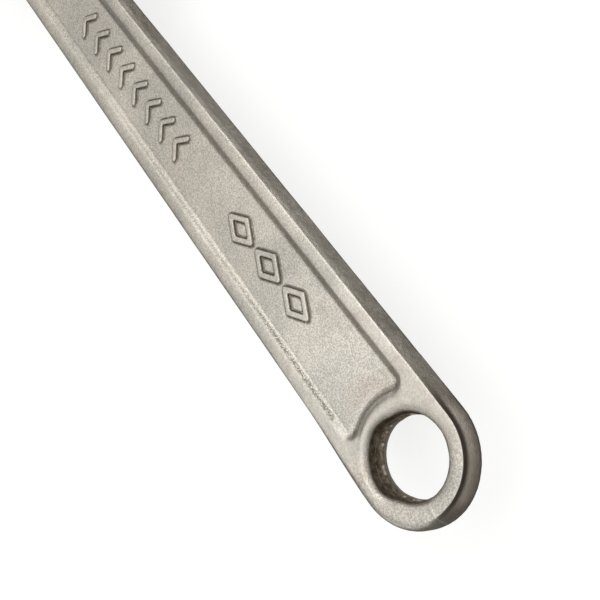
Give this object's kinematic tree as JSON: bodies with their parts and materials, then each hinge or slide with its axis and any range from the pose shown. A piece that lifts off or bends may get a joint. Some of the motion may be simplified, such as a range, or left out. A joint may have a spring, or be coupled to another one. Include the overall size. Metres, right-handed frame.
{
  "type": "pipe wrench",
  "caption": "Straight pipe wrench: flat panelled handle with a hang hole, housing, replaceable heel jaw, sliding toothed hook jaw on a knurled adjusting nut, leaf and coil springs.",
  "frame": {"origin": "centre of the hang hole, on the mid-plane of the forging", "axes": "+X along the handle towards the jaws, +Y towards the side that the jaws open to, +Z across the thickness, out of the face that the picture shows"},
  "size_m": [0.187, 0.0435, 0.0188],
  "materials": {
    "handle_steel": "forged steel, bead blasted and nickel plated, satin, with faint brown patches",
    "jaw_steel": "forged and hardened steel, darkened, with machined teeth",
    "nut_steel": "turned and grooved steel, lightly oiled",
    "spring_steel": "tempered spring steel, blue-grey",
    "pin_steel": "bright drawn steel"
  },
  "bodies": {
    "handle": {"handle": "handle_steel", "heel_jaw": "jaw_steel", "heel_jaw_pin": "pin_steel", "leaf_spring_rivet": "pin_steel", "coil_spring": "spring_steel"},
    "jaw_rocker": {"leaf_spring": "spring_steel"},
    "nut": {"adjusting_nut": "nut_steel"},
    "hook": {"hook_jaw": "jaw_steel"}
  },
  "joints": [
    {"name": "jaw_rock", "type": "hinge", "parent": "handle", "child": "jaw_rocker", "pos_m": [0.1269, -0.018, 0], "axis": [0, 0, -1], "range_deg": [0, 3], "stiffness_Nm_per_rad": 0.6, "springref_deg": -17.19, "deforming": ["leaf_spring", "coil_spring"]},
    {"name": "nut_spin", "type": "hinge", "parent": "jaw_rocker", "child": "nut", "pos_m": [0.1269, -0.018, 0], "axis": [1, 0, 0], "range_deg": [-2880, 1872]},
    {"name": "hook_slide", "type": "slide", "parent": "jaw_rocker", "child": "hook", "axis": [1, 0, 0], "range_m": [-0.013, 0.02]}
  ],
  "couplings": [
    {"joint": "hook_slide", "follows": "nut_spin", "m_per_rad": -0.00039789}
  ]
}
